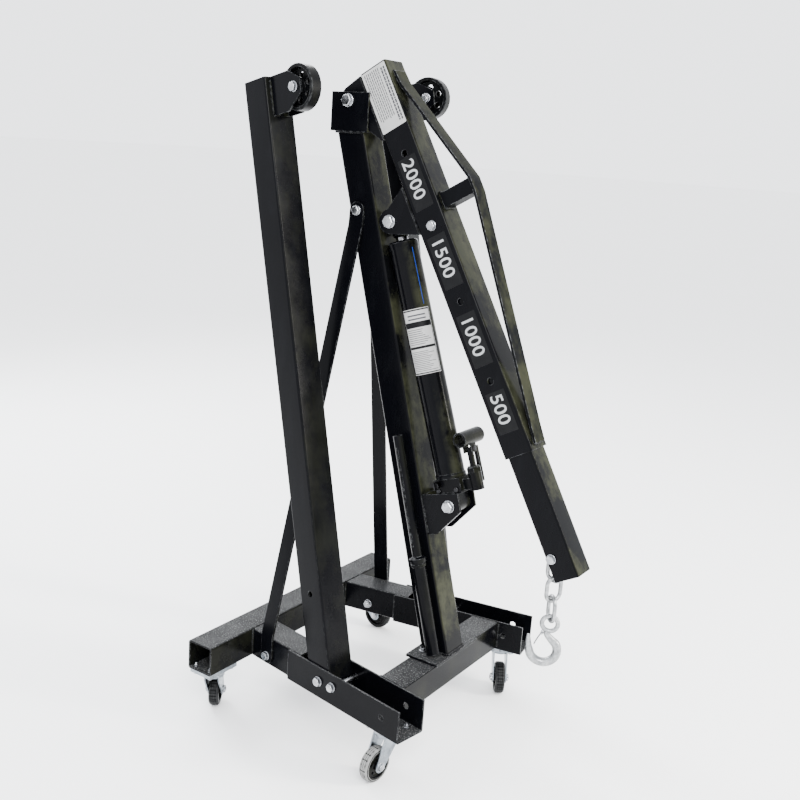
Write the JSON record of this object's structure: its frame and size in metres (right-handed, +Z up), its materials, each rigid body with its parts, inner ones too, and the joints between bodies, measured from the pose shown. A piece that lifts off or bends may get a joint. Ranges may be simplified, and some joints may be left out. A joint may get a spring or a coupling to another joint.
{
  "type": "engine hoist crane",
  "caption": "Folding shop crane on casters with fold-up splayed legs, leaning braced mast, hydraulic jack, trussed telescopic boom, chain and hook.",
  "frame": {"origin": "middle of the footprint, on the floor that the caster wheels stand on", "axes": "+Z up; +X forward, the way the boom points and the legs unfold; -Y the near side, which carries the stored pump handle"},
  "size_m": [0.8058, 0.705, 1.4822],
  "materials": {
    "black_paint": "semi-gloss black paint",
    "bright_zinc": "bright zinc plate",
    "galvanised": "galvanised, satin",
    "caster_rubber": "matt dark grey rubber",
    "wheel_paint": "black painted cast wheel"
  },
  "bodies": {
    "near_leg": {"near_leg": "black_paint", "near_leg_wheel_bracket": "black_paint", "near_leg_wheel_axle": "bright_zinc"},
    "near_leg_wheel": {"near_leg_wheel": "wheel_paint"},
    "near_lock_bolt": {"near_lock_bolt": "bright_zinc"},
    "near_rear_caster_fork": {"near_rear_caster_fork": "bright_zinc"},
    "near_rear_caster_wheel": {"near_rear_caster_wheel": "caster_rubber"},
    "near_front_caster_fork": {"near_front_caster_fork": "bright_zinc"},
    "near_front_caster_wheel": {"near_front_caster_wheel": "caster_rubber"},
    "far_leg": {"far_leg": "black_paint", "far_leg_wheel_bracket": "black_paint", "far_leg_wheel_axle": "bright_zinc"},
    "far_leg_wheel": {"far_leg_wheel": "wheel_paint"},
    "far_lock_bolt": {"far_lock_bolt": "bright_zinc"},
    "far_rear_caster_fork": {"far_rear_caster_fork": "bright_zinc"},
    "far_rear_caster_wheel": {"far_rear_caster_wheel": "caster_rubber"},
    "far_front_caster_fork": {"far_front_caster_fork": "bright_zinc"},
    "far_front_caster_wheel": {"far_front_caster_wheel": "caster_rubber"},
    "base": {"rear_crossbar": "black_paint", "front_crossbar": "black_paint", "mast_foot_plate": "black_paint", "mast": "black_paint", "mast_clevis": "black_paint", "boom_pivot_bolt": "bright_zinc", "brace_top_bolt": "bright_zinc", "jack_bracket": "black_paint", "jack_base_bolt": "bright_zinc", "near_rail_stub": "black_paint", "near_leg_channel": "black_paint", "near_leg_pivot_bolt": "bright_zinc", "near_brace": "black_paint", "near_rear_caster_plate": "bright_zinc", "near_front_caster_plate": "bright_zinc", "far_rail_stub": "black_paint", "far_leg_channel": "black_paint", "far_leg_pivot_bolt": "bright_zinc", "far_brace": "black_paint", "far_rear_caster_plate": "bright_zinc", "far_front_caster_plate": "bright_zinc"},
    "boom": {"boom_tube": "black_paint", "boom_pivot_bracket": "black_paint", "ram_bracket": "black_paint", "boom_truss": "black_paint", "ram_bolt": "bright_zinc", "adjusting_bolt": "bright_zinc"},
    "inner_boom": {"inner_boom": "black_paint", "hook_bolt": "bright_zinc"},
    "chain_link_1": {"chain_link_1": "galvanised"},
    "chain_link_2": {"chain_link_2": "galvanised"},
    "chain_link_3": {"chain_link_3": "galvanised"},
    "hook": {"hook": "galvanised"},
    "hook_latch": {"hook_latch": "bright_zinc"},
    "jack": {"jack_base": "black_paint", "jack_cylinder": "black_paint"},
    "jack_ram": {"jack_ram": "galvanised"},
    "pump_plunger": {"pump_plunger": "bright_zinc"},
    "pump_socket": {"pump_socket": "black_paint"},
    "release_valve": {"release_valve": "bright_zinc"},
    "pump_handle": {"pump_handle": "black_paint"}
  },
  "joints": [
    {"name": "near_leg_fold", "type": "hinge", "parent": "base", "child": "near_leg", "pos_m": [-0.07265, -0.21833, 0.154], "axis": [0.1623, 0.9867, 0], "range_deg": [0, 103.07]},
    {"name": "near_leg_wheel_spin", "type": "hinge", "parent": "near_leg", "child": "near_leg_wheel", "pos_m": [-0.25185, -0.18886, 1.40945], "axis": [0.1623, 0.9867, 0], "continuous": true},
    {"name": "near_lock_bolt_pull", "type": "slide", "parent": "base", "child": "near_lock_bolt", "axis": [-0.1623, -0.9867, 0], "range_m": [0, 0.084]},
    {"name": "near_rear_caster_swivel", "type": "hinge", "parent": "base", "child": "near_rear_caster_fork", "pos_m": [-0.346, -0.306, 0.1], "axis": [0, 0, 1], "continuous": true},
    {"name": "near_rear_caster_wheel_spin", "type": "hinge", "parent": "near_rear_caster_fork", "child": "near_rear_caster_wheel", "pos_m": [-0.36527, -0.27678, 0.0385], "axis": [-0.8348, -0.5505, 0], "continuous": true},
    {"name": "near_front_caster_swivel", "type": "hinge", "parent": "base", "child": "near_front_caster_fork", "pos_m": [0.10418, -0.24741, 0.1], "axis": [0, 0, 1], "continuous": true},
    {"name": "near_front_caster_wheel_spin", "type": "hinge", "parent": "near_front_caster_fork", "child": "near_front_caster_wheel", "pos_m": [0.10016, -0.28218, 0.0385], "axis": [0.9934, -0.1149, 0], "continuous": true},
    {"name": "far_leg_fold", "type": "hinge", "parent": "base", "child": "far_leg", "pos_m": [-0.07265, 0.21833, 0.154], "axis": [-0.1623, 0.9867, 0], "range_deg": [0, 100.2]},
    {"name": "far_leg_wheel_spin", "type": "hinge", "parent": "far_leg", "child": "far_leg_wheel", "pos_m": [-0.1896, 0.1991, 1.41697], "axis": [-0.1623, 0.9867, 0], "continuous": true},
    {"name": "far_lock_bolt_pull", "type": "slide", "parent": "base", "child": "far_lock_bolt", "axis": [-0.1623, 0.9867, 0], "range_m": [0, 0.084]},
    {"name": "far_rear_caster_swivel", "type": "hinge", "parent": "base", "child": "far_rear_caster_fork", "pos_m": [-0.346, 0.306, 0.1], "axis": [0, 0, 1], "continuous": true},
    {"name": "far_rear_caster_wheel_spin", "type": "hinge", "parent": "far_rear_caster_fork", "child": "far_rear_caster_wheel", "pos_m": [-0.311, 0.306, 0.0385], "axis": [0, 1, 0], "continuous": true},
    {"name": "far_front_caster_swivel", "type": "hinge", "parent": "base", "child": "far_front_caster_fork", "pos_m": [0.10418, 0.24741, 0.1], "axis": [0, 0, 1], "continuous": true},
    {"name": "far_front_caster_wheel_spin", "type": "hinge", "parent": "far_front_caster_fork", "child": "far_front_caster_wheel", "pos_m": [0.12344, 0.2182, 0.0385], "axis": [0.8348, 0.5505, 0], "continuous": true},
    {"name": "boom_lift", "type": "hinge", "parent": "base", "child": "boom", "pos_m": [-0.24298, 0, 1.39498], "axis": [0, -1, 0], "range_deg": [0, 100]},
    {"name": "boom_extend", "type": "slide", "parent": "boom", "child": "inner_boom", "axis": [0.4909, 0, -0.8712], "range_m": [-0.165, 0.351]},
    {"name": "chain_plumb", "type": "hinge", "parent": "inner_boom", "child": "chain_link_1", "pos_m": [0.33913, 0, 0.49309], "axis": [0, 1, 0], "range_deg": [0, 100]},
    {"name": "chain_link_2_swing", "type": "hinge", "parent": "chain_link_1", "child": "chain_link_2", "pos_m": [0.33913, 0, 0.43449], "axis": [1, 0, 0], "range_deg": [-15, 15]},
    {"name": "chain_link_3_swing", "type": "hinge", "parent": "chain_link_2", "child": "chain_link_3", "pos_m": [0.33913, 0, 0.38899], "axis": [0.4695, 0.8829, 0], "range_deg": [-15, 15]},
    {"name": "hook_swing", "type": "hinge", "parent": "chain_link_3", "child": "hook", "pos_m": [0.33913, 0, 0.34349], "axis": [0.7193, -0.6947, 0], "range_deg": [-15, 15]},
    {"name": "hook_latch_swing", "type": "hinge", "parent": "hook", "child": "hook_latch", "pos_m": [0.32543, -0.0061, 0.31469], "axis": [0.4067, -0.9135, 0], "range_deg": [0, 35], "stiffness_Nm_per_rad": 0.02, "springref_deg": -11.46},
    {"name": "jack_tilt", "type": "hinge", "parent": "base", "child": "jack", "pos_m": [0.086, 0, 0.545], "axis": [0, 1, 0], "range_deg": [0, 12.91]},
    {"name": "jack_ram_slide", "type": "slide", "parent": "jack", "child": "jack_ram", "axis": [-0.3229, 0, 0.9464], "range_m": [0, 0.38544]},
    {"name": "pump_stroke", "type": "hinge", "parent": "jack", "child": "pump_socket", "pos_m": [0.09883, 0.0258, 0.69941], "axis": [0.9464, 0, 0.3229], "range_deg": [-20, 20]},
    {"name": "pump_plunger_slide", "type": "slide", "parent": "jack", "child": "pump_plunger", "axis": [0.3229, 0, -0.9464], "range_m": [-0.0091, 0.0091]},
    {"name": "release_valve_turn", "type": "hinge", "parent": "jack", "child": "release_valve", "pos_m": [0.05109, -0.03, 0.58539], "axis": [0, -1, 0], "range_deg": [0, 360]},
    {"name": "pump_handle_lift", "type": "slide", "parent": "base", "child": "pump_handle", "axis": [-0.2681, 0, 0.9634], "range_m": [0, 0.25]}
  ],
  "couplings": [
    {"joint": "near_lock_bolt_pull", "follows": "near_leg_fold", "m_per_rad": 0.046694},
    {"joint": "far_lock_bolt_pull", "follows": "far_leg_fold", "m_per_rad": 0.048032},
    {"joint": "chain_plumb", "follows": "boom_lift", "ratio": 1},
    {"joint": "jack_tilt", "follows": "boom_lift", "ratio": 0.12903},
    {"joint": "jack_ram_slide", "follows": "boom_lift", "m_per_rad": 0.22078},
    {"joint": "pump_plunger_slide", "follows": "pump_stroke", "m_per_rad": 0.0258}
  ]
}
